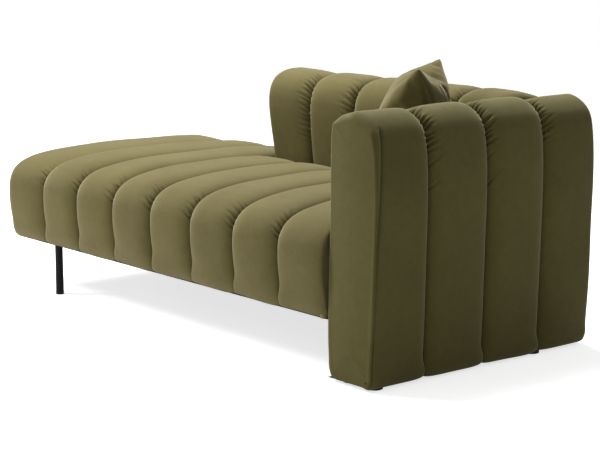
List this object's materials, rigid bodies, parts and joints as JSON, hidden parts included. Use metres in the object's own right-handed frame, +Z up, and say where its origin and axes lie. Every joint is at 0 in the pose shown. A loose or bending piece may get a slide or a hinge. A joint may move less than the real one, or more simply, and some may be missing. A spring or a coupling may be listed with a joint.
{
  "type": "daybed",
  "caption": "Channel-tufted velvet chaise daybed with a part-length backrest, one floor-length armrest, slim round legs and a loose square pillow.",
  "frame": {"origin": "on the floor, under the middle of the daybed's length and depth", "axes": "+X along the length from the open foot end to the armrest, +Y from the seat's front edge to the back, +Z up"},
  "size_m": [1.714, 0.828, 0.7789],
  "materials": {
    "velvet": "olive-green velvet over foam, soft sheen",
    "pillow_velvet": "olive-green velvet, soft sheen",
    "lining": "black non-woven dust cloth",
    "webbing": "elastic upholstery webbing",
    "timber": "planed softwood, unfinished",
    "hardboard": "brown hardboard",
    "leg_steel": "black powder coat, satin",
    "black_plastic": "moulded, matte",
    "zinc_steel": "zinc plated"
  },
  "bodies": {
    "daybed": {"arm_bolts": "zinc_steel", "arm_bottom_rail": "timber", "arm_channel_1": "velvet", "arm_channel_2": "velvet", "arm_channel_3": "velvet", "arm_channel_4": "velvet", "arm_front_panel": "velvet", "arm_front_post": "timber", "arm_glides": "black_plastic", "arm_inner_board": "hardboard", "arm_inner_pad": "velvet", "arm_ledger": "timber", "arm_lining": "lining", "arm_lower_cover": "velvet", "arm_outer_board": "hardboard", "arm_rear_panel": "velvet", "arm_rear_post": "timber", "arm_top_pad": "velvet", "arm_top_rail": "timber", "backrest_board": "hardboard", "backrest_bottom_rail": "timber", "backrest_channel_1": "velvet", "backrest_channel_2": "velvet", "backrest_channel_3": "velvet", "backrest_channel_4": "velvet", "backrest_channel_5": "velvet", "backrest_end_pad": "velvet", "backrest_foot_post": "timber", "backrest_head_post": "timber", "backrest_rear_cover": "velvet", "backrest_screws": "zinc_steel", "backrest_top_pad": "velvet", "backrest_top_rail": "timber", "front_leg": "leg_steel", "front_leg_cap": "black_plastic", "leg_studs": "zinc_steel", "rear_leg": "leg_steel", "rear_leg_cap": "black_plastic", "seat_back_rail": "timber", "seat_channel_1": "velvet", "seat_channel_2": "velvet", "seat_channel_3": "velvet", "seat_channel_4": "velvet", "seat_channel_5": "velvet", "seat_channel_6": "velvet", "seat_channel_7": "velvet", "seat_channel_8": "velvet", "seat_foot_border": "velvet", "seat_foot_rail": "timber", "seat_front_border": "velvet", "seat_front_rail": "timber", "seat_head_rail": "timber", "seat_inner_rail": "timber", "seat_lining": "lining", "seat_middle_rail": "timber", "seat_rear_border": "velvet", "seat_webbing": "webbing", "tee_nuts": "zinc_steel"},
    "pillow": {"throw_pillow": "pillow_velvet"}
  },
  "joints": [
    {"name": "pillow_lift", "type": "slide", "parent": "daybed", "child": "pillow", "axis": [0, 0, 1], "range_m": [0, 0.35]}
  ]
}
